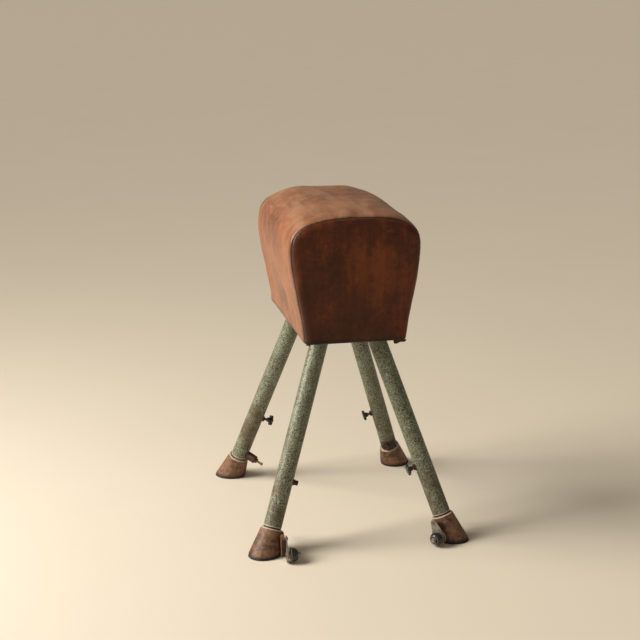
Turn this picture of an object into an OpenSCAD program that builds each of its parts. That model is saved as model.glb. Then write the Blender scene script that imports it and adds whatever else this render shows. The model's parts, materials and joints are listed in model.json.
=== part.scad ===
// Vaulting buck: a padded, leather-covered box on four splayed telescopic legs.
// +Z is up, +Y runs along the body, and the floor is the plane z = 0.

/* [Body] */
// Distance between the two end seams
body_length = 502; // [480:1:520]
// Greatest width, at the shoulders
body_width = 357; // [348:1:366]
// Width of the underside
bottom_width = 284; // [278:1:288]
// Height of the leather hem above the floor
underside = 566; // [560:1:575]
// Height at which the body is widest
shoulder_height = 822; // [815:1:830]
// Height of the shoulders' top above that line, at the end seams
shoulder_rise = 86; // [82:1:90]
// Extra height of the crown at mid-length
crown = 15; // [8:1:18]
// Extra half-width at mid-length
side_swell = 3; // [0:0.5:4]
// Radius of the edge around each end
edge_radius = 24; // [22:1:26]
// How far each end panel domes beyond its edge
end_dome = 6; // [2:1:10]
// Thickness of the leather
leather = 3; // [2:0.5:3]
// Clearance between the leather, the padding and the box
gap = 0.2; // [0.1:0.05:0.3]
// Width of the hem turned under the box
hem_width = 23; // [20:1:24]
// Height of the welt above the leather
welt_rise = 1.5; // [1:0.1:2]

/* [Box] */
// Width of the wooden box at its base
box_bottom = 260; // [256:1:262]
// Width of the wooden box at its top
box_top = 320; // [310:1:322]
// Length of the wooden box
box_length = 476; // [470:1:478]
// Thickness of the base, top and end boards
board = 18; // [16:1:20]
// Thickness of the side boards
side_board = 15; // [12:1:16]
// Height of the top board's upper face above the base board's underside
box_height = 281; // [270:1:284]
// Radius of the wood screws
screw_radius = 2; // [1.5:0.25:2.5]
// Length of the wood screws
screw_length = 42; // [36:1:45]
// Radius of the tack heads
tack_radius = 4.5; // [3.5:0.5:5]
// Spacing of the tacks
tack_pitch = 36; // [34:1:38]

/* [Legs] */
// Distance of each leg's floor point from the centre, across the body
foot_x = 262; // [255:1:270]
// Distance of each leg's floor point from the centre, along the body
foot_y = 310; // [300:1:320]
// Distance of each leg's axis from the centre where it meets the box, across the body
head_x = 73; // [70:1:76]
// The same distance along the body
head_y = 152; // [148:1:156]
// Radius of the outer tube
tube_radius = 25; // [24.5:0.5:25.5]
// Wall of the outer tube
tube_wall = 2.5; // [2:0.25:2.75]
// Wall of the inner tube
inner_wall = 2; // [1.5:0.25:2.5]
// Radial clearance between the two tubes
slide_clearance = 0.2; // [0.15:0.05:0.3]
// Distance along the leg from the floor to the outer tube's lower end
tube_start = 75; // [74:1:78]
// Distance along the leg from the floor to the inner tube's top
inner_end = 600; // [590:1:602]
// Spacing of the height holes
hole_pitch = 54.5; // [54:0.5:55]
// Number of height holes
hole_count = 7; // [5:1:7]
// Distance along the leg from the floor to the latch
latch_at = 92; // [90:1:94]
// Distance along the leg from the floor to the lowest clamp screw
clamp_low = 206; // [200:1:210]

/* [Feet] */
// Radius of the foot casting's rim
rim_radius = 30; // [29:0.5:31]
// Radius of the foot casting where its axis meets the floor
foot_radius = 44; // [42:0.5:46]
// Thickness of the rubber sole
sole = 6; // [5:0.5:7]
// How far the sole is set in from the casting
sole_inset = 1.5; // [1:0.25:2]

/* [Rollers] */
// Distance of the left roller from the centre, across the body
left_roller_x = 195; // [193:1:197]
// Distance of the left roller from the centre, along the body
left_roller_y = 379; // [377:1:381]
// Direction of the left roller's axle from the X axis
left_axle_turn = -4; // [-6:1:-2]
// Distance of the right roller from the centre, across the body
right_roller_x = 203; // [201:1:205]
// Distance of the right roller from the centre, along the body
right_roller_y = 360; // [358:1:362]
// Direction of the right roller's axle from the X axis
right_axle_turn = 222; // [220:1:224]
// Radius of the wheel
wheel_radius = 18.5; // [18:0.5:19]
// Width of the wheel
wheel_width = 16.5; // [16:0.5:17]
// Height of the wheel's lowest point above the floor
wheel_lift = 3.5; // [3:0.5:5]

/* [Hidden] */
$fn = 64;

hide = "saddlebrown";
wood = "burlywood";
paint = "darkseagreen";
cast = "rosybrown";
steel = "silver";
dark = "darkslategray";

// The legs: front left, front right, back left, back right
FL = 0;
FR = 1;
BL = 2;
BR = 3;
LEGS = [FL, FR, BL, BR];
side_of = [-1, 1, -1, 1];
end_of = [-1, -1, 1, 1];
// Direction of each latch, seen from above
latch_heading = [80, 80, -40, 240];
// Distance of each clamp screw along its leg from the floor
clamp_at = [clamp_low, clamp_low + 17, clamp_low + 14, clamp_low + 7];

half_seam = body_length / 2;
arc_start = half_seam - 8;
box_z = underside + leather + gap;
box_half_x = box_bottom / 2;
box_half_y = box_length / 2;
wall_z = box_z + board;
lid_z = box_z + box_height - board;
hem_x = bottom_width / 2 - hem_width;
hem_y = box_half_y - 20;
seam_half_gap = 2.5;

flange_size = [80, 110];
flange_t = 6;
flange_z = box_z - flange_t;
bolt_at = [29, 44];
bolt_radius = 4;
bolt_hole = 4.2;
bolt_head = 5.5;
nut_t = 6.5;

// The left roller reaches further from the centre than the back feet, so the model is shifted
// along the body until its bounding box is centred on the origin.
disc_radius = 20;
disc_t = 1.5;
front_reach = left_roller_y + disc_radius * cos(left_axle_turn) + (wheel_width / 2 + 1) * sin(left_axle_turn);
back_reach = foot_y + 1.066 * foot_radius;
shift_y = (front_reach - back_reach) / 2;

inner_radius = tube_radius - tube_wall - slide_clearance;
inner_start = 25;
rim_at = tube_start - 3;

screw_r = 4;
boss_radius = 8;
boss_end = 31;
pad_start = inner_radius + 0.3;
pad_t = 1.5;
// Distance of each knob's inner face from its leg's axis
knob_start = [31.8, 41.5, 48, 44.5];
knob_t = 9;
small_knob_t = 7;

latch_size = 19;
latch_end = 55;
gland_end = 61;
// The back right latch is a short round boss with its pin sunk in it
short_latch_end = 34;
short_pin_end = 32;
pin_radius = 3.45;
pin_bore = 3.5;
pin_hole = 3.7;
pin_tip = inner_radius + 0.5;
pin_end = 78;

axle_radius = 4;
axle_height = wheel_radius + wheel_lift;
plate_t = 3.5;
plate_x = -21.4;
plate_low_radius = 20;
plate_high_radius = 8.5;
plate_up = 38;
plate_back = 20;
lug_z = [14, 58];

function unit(v) = v / norm(v);
function across(v, axis) = unit(v - (v * axis) * axis);
function leg_foot(k) = [side_of[k] * foot_x, end_of[k] * foot_y + shift_y, 0];
function leg_up(k) = unit([side_of[k] * (head_x - foot_x), end_of[k] * (head_y - foot_y), box_z]);
function clamp_dir(k) = across([-side_of[k], 0, 0], leg_up(k));
function latch_dir(k) = across([cos(latch_heading[k]), sin(latch_heading[k]), 0], leg_up(k));

// Half-width of the body's side at height z, before any inset
function side_x(z, swell) =
  let (u = (z - underside) / (shoulder_height - underside))
  bottom_width / 2 + (body_width / 2 + swell - bottom_width / 2) * (1 - pow(1 - pow(max(u, 0), 1.5), 1.8));

// Inset of the surface that lies d inside the leather's face, rounded around the ends
function inset(y, d) =
  let (r = edge_radius - d, s = min(1, max(0, (abs(y) - arc_start) / r)))
  d + r * (1 - sqrt(1 - s * s));

// Share of the mid-length swelling that is left at y
function swell_at(y) = max(0, 1 - pow(y / half_seam, 4));

corner_steps = 3;
side_steps = 7;
shoulder_steps = 11;

// Right half of the section at y, as [x, z] points from the hem to the crown
function half_section(y, d, i) =
  let (
    swell = side_swell * swell_at(y),
    rise = shoulder_rise + crown * swell_at(y),
    r = 8 - d,
    foot_half = bottom_width / 2 - i,
    half = body_width / 2 + swell - i
  )
  concat(
    [[min(hem_x, foot_half - r - 5), underside + d]],
    [for (n = [0:corner_steps]) let (a = -90 + 90 * n / corner_steps)
      [foot_half - r + r * cos(a), underside + d + r + r * sin(a)]],
    [for (n = [1:side_steps])
      let (z = underside + 8 + (shoulder_height - underside - 8) * n / (side_steps + 1))
      [side_x(z, swell) - i, z]],
    [for (n = [0:shoulder_steps]) let (a = 90 * n / (shoulder_steps + 0.5))
      [half * pow(cos(a), 0.74), shoulder_height + (rise - i) * pow(sin(a), 0.74)]]
  );

// Whole section at y: up the right side, over the crown and down the left side
function section_at(y, d) =
  let (right = half_section(y, d, inset(y, d)), last = len(right) - 1)
  concat(right, [for (n = [last:-1:0]) [-right[n][0], right[n][1]]]);

function ring(y, d) = [for (p = section_at(y, d)) [p[0], y, p[1]]];

// Ring of the domed end panel: the last section shrunk to the share s around the panel's middle
dome_middle = [0, 0, 735];
function dome_ring(end, d, s) =
  let (y = end * (arc_start + edge_radius - d))
  [for (p = ring(y, d))
    [p[0] * s, y + end * end_dome * (1 - s * s), dome_middle[2] + (p[2] - dome_middle[2]) * s]];

// Point at the middle of the dome, on the surface d inside the leather's face
function dome_point(end, d) = [0, end * (arc_start + edge_radius - d + end_dome), dome_middle[2]];

dome_shares = [0.85, 0.6, 0.3];
ring_size = len(section_at(0, 0));

// Side faces between rings a and a + 1 of the list of rings
function strip(a, closed) =
  [for (n = [0:ring_size - (closed ? 1 : 2)]) let (m = (n + 1) % ring_size)
    [a * ring_size + n, a * ring_size + m, (a + 1) * ring_size + m, (a + 1) * ring_size + n]];
function flipped(faces) = [for (f = faces) [for (n = [len(f) - 1:-1:0]) f[n]]];
// Triangles from ring a to the single point that closes it
function fan(a, point) =
  [for (n = [0:ring_size - 1]) [a * ring_size + n, a * ring_size + (n + 1) % ring_size, point]];
function joined(lists) = [for (l = lists) each l];

// Places of the rings between the rounded ends, as shares of the distance from the middle to either end
middle_shares = [-0.85, -0.6, -0.3, 0, 0.3, 0.6, 0.85];

// Rings of the body from one dome to the other, on the surface d inside the leather's face
function body_rings(d) =
  let (
    r = edge_radius - d,
    arc = [for (a = [90, 65, 45, 30, 15, 0]) arc_start + r * sin(a)],
    middle = [for (s = middle_shares) arc_start * s],
    ys = concat([for (y = arc) -y], middle, [for (n = [5:-1:0]) arc[n]])
  )
  concat(
    [for (n = [2:-1:0]) dome_ring(-1, d, dome_shares[n])],
    [for (y = ys) ring(y, d)],
    [for (s = dome_shares) dome_ring(1, d, s)]
  );

module body_solid(d) {
  rings = body_rings(d);
  last = len(rings) - 1;
  tips = [dome_point(-1, d), dome_point(1, d)];
  polyhedron(
    points = concat(joined(rings), tips),
    faces = concat(
      fan(0, len(rings) * ring_size),
      flipped(joined([for (a = [0:last - 1]) strip(a, true)])),
      flipped(fan(last, len(rings) * ring_size + 1))
    )
  );
}

// Places its children on leg k, with +Z up the leg and +X along the direction given
module on_leg(k, direction) {
  z = leg_up(k);
  y = cross(z, direction);
  p = leg_foot(k);
  multmatrix([
    [direction[0], y[0], z[0], p[0]],
    [direction[1], y[1], z[1], p[1]],
    [direction[2], y[2], z[2], p[2]],
    [0, 0, 0, 1]
  ]) children();
}

// Places its children at distance s up leg k, with +Z along the direction given
module from_leg(k, direction, s) {
  on_leg(k, direction) translate([0, 0, s]) rotate([0, 90, 0]) children();
}

// Places its children at the roller of leg k, with +Z along its axle, away from the foot, and +X down
module at_roller(k) {
  x = k == FL ? -left_roller_x : right_roller_x;
  y = k == FL ? -left_roller_y : -right_roller_y;
  translate([x, y + shift_y, axle_height])
    rotate([0, 0, k == FL ? left_axle_turn : right_axle_turn])
    rotate([0, 90, 0])
    children();
}

module rounded_outline(size, r) {
  square([size[0] - 2 * r, size[1]], center = true);
  square([size[0], size[1] - 2 * r], center = true);
  for (x = [-1, 1], y = [-1, 1])
    translate([x * (size[0] / 2 - r), y * (size[1] / 2 - r)]) circle(r);
}

// Disc of radius r with rounded rims of radius e
module soft_disc(r, h, e) {
  rotate_extrude() intersection() {
    translate([0, h / 2]) rounded_outline([2 * r, h], e);
    square([r, h]);
  }
}

// ---- wooden box ----

module leg_bolts() {
  for (k = LEGS, x = [-1, 1], y = [-1, 1])
    translate([side_of[k] * head_x + x * bolt_at[0], end_of[k] * head_y + y * bolt_at[1], 0]) children();
}

// Wood screws through the base board and the top board into the end boards
screw_x = [-108, -36, 36, 108];
module screw_places() {
  for (x = screw_x, y = [-1, 1]) translate([x, y * (box_half_y - board / 2), 0]) {
    translate([0, 0, box_z]) children();
    translate([0, 0, box_z + box_height]) mirror([0, 0, 1]) children();
  }
}

module screw_hole() {
  translate([0, 0, -1]) cylinder(r = screw_radius + 0.1, h = screw_length + 1.5);
  translate([0, 0, -0.01]) cylinder(r1 = screw_radius + 2.2, r2 = screw_radius + 0.1, h = 2.2);
}

module in_box() {
  translate([0, shift_y, 0]) children();
}

module base_board() {
  color(wood) in_box() difference() {
    translate([-box_half_x, -box_half_y, box_z]) cube([box_bottom, box_length, board]);
    leg_bolts() translate([0, 0, box_z - 1]) cylinder(r = bolt_hole, h = board + 2);
    screw_places() screw_hole();
  }
}

module end_board(end) {
  color(wood) in_box() difference() {
    translate([0, end * (box_half_y - board / 2) + board / 2, 0]) rotate([90, 0, 0])
      linear_extrude(board) polygon([
        [-box_half_x, wall_z], [box_half_x, wall_z], [box_top / 2, lid_z], [-box_top / 2, lid_z]
      ]);
    screw_places() screw_hole();
  }
}

module side_board(side) {
  length = box_length - 2 * board;
  color(wood) in_box() translate([0, length / 2, 0]) rotate([90, 0, 0])
    linear_extrude(length) polygon([
      [side * box_half_x, wall_z], [side * box_top / 2, lid_z],
      [side * (box_top / 2 - side_board), lid_z], [side * (box_half_x - side_board), wall_z]
    ]);
}

module top_board() {
  color(wood) in_box() difference() {
    translate([-box_top / 2, -box_half_y, lid_z]) cube([box_top, box_length, board]);
    screw_places() screw_hole();
  }
}

module box_screws() {
  color(steel) in_box() screw_places() {
    cylinder(r = screw_radius, h = screw_length);
    cylinder(r1 = screw_radius + 2, r2 = screw_radius, h = 2);
  }
}

// ---- soft covering ----

module padding() {
  inner_x = box_half_x + gap;
  lid_x = box_top / 2 + gap;
  length = box_length + 2 * gap;
  color("beige") in_box() difference() {
    body_solid(leather + gap);
    translate([0, length / 2, 0]) rotate([90, 0, 0]) linear_extrude(length) polygon([
      [-inner_x, box_z - 10], [inner_x, box_z - 10], [inner_x, wall_z], [lid_x, lid_z],
      [lid_x, box_z + box_height + gap], [-lid_x, box_z + box_height + gap],
      [-lid_x, lid_z], [-inner_x, wall_z]
    ]);
  }
}

// Sides and top of the cover, one sheet from hem to hem
module leather_main() {
  end = half_seam - seam_half_gap;
  ys = concat(
    [-end, -end + 3, -arc_start],
    [for (s = middle_shares) arc_start * s],
    [arc_start, end - 3, end]
  );
  last = len(ys) - 1;
  outer = [for (y = ys) ring(y, 0)];
  inner = [for (y = ys) ring(y, leather)];
  shift = (last + 1) * ring_size;
  caps = [for (a = [0, last]) [for (n = [0:ring_size - 2]) let (p = a * ring_size + n)
    [p, p + 1, shift + p + 1, shift + p]]];
  hems = [for (n = [0, ring_size - 1]) [for (a = [0:last - 1]) let (p = a * ring_size + n)
    [p, p + ring_size, shift + p + ring_size, shift + p]]];
  walls = joined([for (a = [0:last - 1]) strip(a, false)]);
  color(hide) in_box() polyhedron(
    points = joined(concat(outer, inner)),
    faces = concat(
      flipped(walls),
      [for (f = walls) [for (p = f) p + shift]],
      caps[0], flipped(caps[1]), flipped(hems[0]), hems[1]
    )
  );
}

// Domed panel that closes one end of the cover, with a flap turned under the box
module leather_end(end) {
  start = half_seam + seam_half_gap;
  function panel_rings(d) = let (r = edge_radius - d, first = asin((start - arc_start) / r)) concat(
    [for (a = [first, 30, 45, 65, 90]) ring(end * (arc_start + r * sin(a)), d)],
    [for (s = dome_shares) dome_ring(end, d, s)]
  );
  outer = panel_rings(0);
  inner = panel_rings(leather);
  last = len(outer) - 1;
  shift = (last + 1) * ring_size;
  walls = joined([for (a = [0:last - 1]) strip(a, true)]);
  lip = [for (n = [0:ring_size - 1]) let (m = (n + 1) % ring_size) [n, shift + n, shift + m, m]];
  tips = [dome_point(end, 0), dome_point(end, leather)];
  faces = concat(
    walls, fan(last, 2 * shift),
    flipped([for (f = walls) [for (p = f) p + shift]]),
    flipped(fan(2 * last + 1, 2 * shift + 1)),
    lip
  );
  flap = start + 1 - hem_y;
  lap = 0.1;
  color(hide) in_box() {
    polyhedron(points = concat(joined(concat(outer, inner)), tips), faces = end > 0 ? faces : flipped(faces));
    translate([-hem_x + gap, end > 0 ? hem_y : -hem_y - flap, underside + lap])
      cube([2 * (hem_x - gap), flap, leather - 2 * lap]);
  }
}

// Raised welts along the two end seams
module welts() {
  width = 2 * (seam_half_gap - gap);
  outer = section_at(half_seam, -welt_rise);
  inner = section_at(half_seam, leather / 2 - 0.3);
  last = ring_size - 1;
  color("black") in_box() for (end = [-1, 1])
    translate([0, end * half_seam + width / 2, 0]) rotate([90, 0, 0]) linear_extrude(width)
      polygon(concat(
        [for (p = outer) [p[0], max(p[1], underside)]],
        [for (n = [last:-1:0]) inner[n]]
      ));
}

module tack() {
  translate([0, 0, -1.6]) intersection() {
    translate([0, 0, 7.5]) sphere(7.5);
    cylinder(r = tack_radius, h = 1.6);
  }
  cylinder(r1 = 0.9, r2 = 0.9, h = 9);
}

module tacks() {
  tack_x = hem_x + 8;
  tack_y = box_half_y - 5;
  color("saddlebrown") in_box() translate([0, 0, underside]) {
    for (n = [-5:6], side = [-1, 1]) translate([side * tack_x, (n - 0.5) * tack_pitch, 0]) tack();
    for (n = [-2:3], end = [-1, 1]) translate([(n - 0.5) * tack_pitch, end * tack_y, 0]) tack();
  }
}

// ---- leg fixings ----

module leg_flanges() {
  color(paint) in_box() difference() {
    for (k = LEGS) translate([side_of[k] * head_x, end_of[k] * head_y, flange_z])
      linear_extrude(flange_t) rounded_outline(flange_size, 8);
    leg_bolts() translate([0, 0, flange_z - 1]) cylinder(r = bolt_hole, h = flange_t + 2);
  }
}

module flange_bolts() {
  color(steel) in_box() leg_bolts() {
    translate([0, 0, flange_z - bolt_head]) cylinder(r = 7.5, h = bolt_head, $fn = 6);
    translate([0, 0, flange_z - 1]) cylinder(r = bolt_radius, h = flange_t + board + nut_t + 4);
  }
}

module flange_nuts() {
  color(steel) in_box() leg_bolts() translate([0, 0, wall_z]) difference() {
    cylinder(r = 7.5, h = nut_t, $fn = 6);
    translate([0, 0, -1]) cylinder(r = bolt_radius + 0.02, h = nut_t + 2);
  }
}

module outer_tube(k) {
  color(paint) difference() {
    intersection() {
      on_leg(k, clamp_dir(k)) translate([0, 0, tube_start]) cylinder(r = tube_radius, h = 600);
      translate([-500, -500, 0]) cube([1000, 1000, flange_z]);
    }
    on_leg(k, clamp_dir(k)) cylinder(r = tube_radius - tube_wall, h = 700);
    from_leg(k, clamp_dir(k), clamp_at[k]) cylinder(r = screw_r + 0.2, h = tube_radius + 10);
    from_leg(k, latch_dir(k), latch_at) cylinder(r = pin_hole, h = tube_radius + 10);
  }
}

// Threaded bosses that guide the clamp screws
module clamp_bosses() {
  color(paint) for (k = LEGS) difference() {
    from_leg(k, clamp_dir(k), clamp_at[k]) {
      cylinder(r = boss_radius, h = boss_end - 1);
      translate([0, 0, boss_end - 1]) cylinder(r1 = boss_radius, r2 = boss_radius - 1, h = 1);
    }
    on_leg(k, clamp_dir(k)) translate([0, 0, clamp_at[k] - 30]) cylinder(r = tube_radius, h = 60);
    from_leg(k, clamp_dir(k), clamp_at[k]) cylinder(r = screw_r + 0.05, h = boss_end + 1);
  }
}

module clamp_pad(k) {
  color("goldenrod") from_leg(k, clamp_dir(k), clamp_at[k])
    translate([0, 0, pad_start]) cylinder(r = screw_r - 0.1, h = pad_t);
}

module clamp_screw(k) {
  tip = pad_start + pad_t + 0.05;
  end = knob_start[k] + 5;
  color(steel) from_leg(k, clamp_dir(k), clamp_at[k]) translate([0, 0, tip]) {
    cylinder(r1 = screw_r - 0.7, r2 = screw_r, h = 0.7);
    translate([0, 0, 0.7]) cylinder(r = screw_r, h = end - tip - 0.7);
  }
}

// Star knob with six lobes and a tapered hub; the front left leg has a small round one instead
module clamp_knob(k) {
  color(dark) from_leg(k, clamp_dir(k), clamp_at[k]) translate([0, 0, knob_start[k]])
    if (k == FL)
      difference() {
        soft_disc(7, small_knob_t, 1.5);
        translate([0, 0, -1]) cylinder(r = screw_r + 0.01, h = 6);
      }
    else
      difference() {
        union() {
          soft_disc(12.5, knob_t, 2.5);
          for (n = [0:5]) rotate([0, 0, 60 * n]) translate([11.3, 0, 0.8]) soft_disc(5.2, knob_t - 1.6, 2);
          translate([0, 0, -8]) cylinder(r1 = 6, r2 = 8.2, h = 9);
        }
        translate([0, 0, -9]) cylinder(r = screw_r + 0.01, h = 14);
      }
}

module latch_housing(k) {
  color(cast) difference() {
    from_leg(k, latch_dir(k), latch_at)
      if (k == BR)
        cylinder(r = 11, h = short_latch_end);
      else {
        linear_extrude(latch_end) rounded_outline([latch_size, latch_size], 2.5);
        translate([0, 0, latch_end]) cylinder(r = 8.5, h = gland_end - latch_end, $fn = 6);
      }
    on_leg(k, latch_dir(k)) translate([0, 0, latch_at - 30]) cylinder(r = tube_radius, h = 60);
    from_leg(k, latch_dir(k), latch_at) cylinder(r = pin_bore, h = gland_end + 1);
  }
}

module latch_pin(k) {
  end = k == BR ? short_pin_end : pin_end;
  color("peru") from_leg(k, latch_dir(k), latch_at) {
    translate([0, 0, pin_tip]) cylinder(r1 = pin_radius - 0.8, r2 = pin_radius, h = 0.8);
    translate([0, 0, pin_tip + 0.8]) cylinder(r = pin_radius, h = end - pin_tip - 0.8);
    if (k != BR) translate([0, 0, end - 1]) soft_disc(4.6, 5, 1.5);
  }
}

// ---- sliding legs ----

module inner_tube(k) {
  color(steel) difference() {
    on_leg(k, latch_dir(k)) difference() {
      translate([0, 0, inner_start]) cylinder(r = inner_radius, h = inner_end - inner_start);
      cylinder(r = inner_radius - inner_wall, h = inner_end + 1);
    }
    for (n = [0:hole_count - 1]) from_leg(k, latch_dir(k), latch_at + n * hole_pitch)
      translate([0, 0, -tube_radius - 5]) cylinder(r = pin_hole, h = 2 * tube_radius + 10);
  }
}

// Radius of the conical foot, with its inset, at distance s along the leg
function cone_r(s, i) = foot_radius - i + (rim_radius - foot_radius) * s / rim_at;

module foot(k) {
  rim = 3;
  low = -30;
  x = side_of[k];
  color(cast) difference() {
    union() {
      intersection() {
        on_leg(k, clamp_dir(k)) {
          rotate_extrude() {
            polygon([
              [0, low], [cone_r(low, 0), low], [cone_r(rim_at - rim, 0), rim_at - rim],
              [rim_radius - rim, rim_at], [0, rim_at]
            ]);
            translate([cone_r(rim_at - rim, 0) - rim, rim_at - rim]) circle(rim);
          }
          translate([0, 0, rim_at - 1]) cylinder(r = inner_radius + 1.2, h = 3.9);
        }
        translate([-500, -500, sole]) cube([1000, 1000, 200]);
      }
      if (end_of[k] < 0) roller_lug(k);
    }
    on_leg(k, clamp_dir(k)) translate([0, 0, inner_start]) cylinder(r = inner_radius + 0.05, h = 200);
  }
}

// Lug cast on the foot, up to the roller's plate: the left one runs along the plate and the right one
// runs straight out to it
module roller_lug(k) {
  deep = k == FL ? 11 : 30;
  wide = k == FL ? [8, 76] : [-25, -8];
  at_roller(k) translate([axle_height - lug_z[1], wide[0], plate_x - deep])
    cube([lug_z[1] - lug_z[0], wide[1] - wide[0], deep]);
}

module rubber_sole(k) {
  low = -30;
  color("black") intersection() {
    on_leg(k, clamp_dir(k)) translate([0, 0, low])
      cylinder(r1 = cone_r(low, sole_inset), r2 = cone_r(60, sole_inset), h = 60 - low);
    translate([-500, -500, 0]) cube([1000, 1000, sole]);
  }
}

// ---- rollers ----

// Plate that carries the axle: a large round end about the axle that narrows to a small one
module roller_bracket(k) {
  back = -side_of[k] * plate_back;
  reach = norm([plate_up, back]);
  turn = acos((plate_low_radius - plate_high_radius) / reach);
  color(steel) at_roller(k) translate([0, 0, plate_x]) difference() {
    rotate([0, 0, atan2(back, -plate_up)]) {
      linear_extrude(plate_t) {
        circle(plate_low_radius);
        translate([reach, 0]) circle(plate_high_radius);
        polygon([
          plate_low_radius * [cos(turn), sin(turn)],
          plate_low_radius * [cos(turn), -sin(turn)],
          [reach, 0] + plate_high_radius * [cos(turn), -sin(turn)],
          [reach, 0] + plate_high_radius * [cos(turn), sin(turn)]
        ]);
      }
      translate([reach, 0, plate_t]) soft_disc(4.5, 2.5, 1);
    }
    translate([0, 0, -1]) cylinder(r = axle_radius + 0.02, h = plate_t + 2);
  }
}

// Axle with its head, the spacer and disc behind the wheel, and the washer and nut before it
module roller_axle(k) {
  half = wheel_width / 2;
  color(steel) at_roller(k) {
    translate([0, 0, plate_x - 2]) cylinder(r = 6.5, h = 2);
    translate([0, 0, plate_x - 1]) cylinder(r = axle_radius, h = half + 9 - plate_x);
    translate([0, 0, plate_x + plate_t]) cylinder(r = 9, h = -half - disc_t - plate_x - plate_t);
    translate([0, 0, -half - 0.2 - disc_t]) cylinder(r = disc_radius, h = disc_t);
    translate([0, 0, half + 0.2]) cylinder(r = 8, h = 1);
    translate([0, 0, half + 1.2]) cylinder(r = 6.5, h = 5, $fn = 6);
  }
}

// Wheel that narrows in a curve towards its outer face
module roller_wheel(k) {
  half = wheel_width / 2;
  rim = 5;
  face_radius = 12.5;
  fall = wheel_radius - face_radius;
  crown_radius = (fall * fall + (wheel_width - rim) * (wheel_width - rim)) / (2 * fall);
  color("black") at_roller(k) difference() {
    translate([0, 0, -half]) rotate_extrude() {
      square([wheel_radius, rim]);
      square([face_radius, wheel_width]);
      intersection() {
        translate([wheel_radius - crown_radius, rim]) circle(crown_radius);
        square([wheel_radius, wheel_width]);
      }
    }
    translate([0, 0, -half - 1]) cylinder(r = axle_radius + 0.06, h = wheel_width + 2);
    translate([0, 0, half]) rotate_extrude() translate([10, 0]) circle(1.2);
  }
}

base_board();
end_board(-1);  // end_board_front
end_board(1);  // end_board_back
side_board(-1);  // side_board_left
side_board(1);  // side_board_right
top_board();
box_screws();
padding();
leather_main();
leather_end(-1);  // leather_end_front
leather_end(1);  // leather_end_back
welts();
tacks();
leg_flanges();
flange_bolts();
flange_nuts();
clamp_bosses();
outer_tube(FL);  // outer_tube_fl
outer_tube(FR);  // outer_tube_fr
outer_tube(BL);  // outer_tube_bl
outer_tube(BR);  // outer_tube_br
latch_housing(FL);  // latch_housing_fl
latch_housing(FR);  // latch_housing_fr
latch_housing(BL);  // latch_housing_bl
latch_housing(BR);  // latch_housing_br
latch_pin(FL);  // latch_pin_fl
latch_pin(FR);  // latch_pin_fr
latch_pin(BL);  // latch_pin_bl
latch_pin(BR);  // latch_pin_br
inner_tube(FL);  // inner_tube_fl
inner_tube(FR);  // inner_tube_fr
inner_tube(BL);  // inner_tube_bl
inner_tube(BR);  // inner_tube_br
foot(FL);  // foot_fl
foot(FR);  // foot_fr
foot(BL);  // foot_bl
foot(BR);  // foot_br
rubber_sole(FL);  // sole_fl
rubber_sole(FR);  // sole_fr
rubber_sole(BL);  // sole_bl
rubber_sole(BR);  // sole_br
clamp_pad(FL);  // clamp_pad_fl
clamp_pad(FR);  // clamp_pad_fr
clamp_pad(BL);  // clamp_pad_bl
clamp_pad(BR);  // clamp_pad_br
clamp_screw(FL);  // clamp_screw_fl
clamp_screw(FR);  // clamp_screw_fr
clamp_screw(BL);  // clamp_screw_bl
clamp_screw(BR);  // clamp_screw_br
clamp_knob(FL);  // clamp_knob_fl
clamp_knob(FR);  // clamp_knob_fr
clamp_knob(BL);  // clamp_knob_bl
clamp_knob(BR);  // clamp_knob_br
roller_bracket(FL);  // roller_bracket_fl
roller_bracket(FR);  // roller_bracket_fr
roller_axle(FL);  // roller_axle_fl
roller_axle(FR);  // roller_axle_fr
roller_wheel(FL);  // roller_wheel_fl
roller_wheel(FR);  // roller_wheel_fr
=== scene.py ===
import json
import math

import bpy
import numpy as np
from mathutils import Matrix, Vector


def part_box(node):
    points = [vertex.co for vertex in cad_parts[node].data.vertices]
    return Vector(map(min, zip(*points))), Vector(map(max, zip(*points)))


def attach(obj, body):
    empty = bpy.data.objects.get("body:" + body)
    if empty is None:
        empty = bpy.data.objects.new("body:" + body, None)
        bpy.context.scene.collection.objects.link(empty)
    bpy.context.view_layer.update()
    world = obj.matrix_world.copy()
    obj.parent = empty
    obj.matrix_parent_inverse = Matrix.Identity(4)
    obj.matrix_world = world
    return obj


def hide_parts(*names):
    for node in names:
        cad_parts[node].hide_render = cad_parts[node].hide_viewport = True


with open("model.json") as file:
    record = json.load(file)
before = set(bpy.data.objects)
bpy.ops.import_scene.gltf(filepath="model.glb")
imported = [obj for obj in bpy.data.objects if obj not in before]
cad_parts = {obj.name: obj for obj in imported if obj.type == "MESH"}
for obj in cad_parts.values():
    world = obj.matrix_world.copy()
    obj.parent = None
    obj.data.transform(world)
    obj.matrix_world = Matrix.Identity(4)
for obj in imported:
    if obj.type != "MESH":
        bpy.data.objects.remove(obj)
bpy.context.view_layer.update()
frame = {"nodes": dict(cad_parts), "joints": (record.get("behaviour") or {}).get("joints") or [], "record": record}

RECORD = frame["record"]
NODES = frame["nodes"]
JOINTS = {joint["name"]: joint for joint in frame["joints"]}
LEGS = ("fl", "fr", "bl", "br")

# ---------------------------------------------------------------------------
# Measures of the cover, taken from the CAD nodes it replaces
# ---------------------------------------------------------------------------

cover_low, cover_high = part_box("leather_main")
front_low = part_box("leather_end_front")[0]
flange_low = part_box("leg_flanges")[0]
board_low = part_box("base_board")[0]

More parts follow.
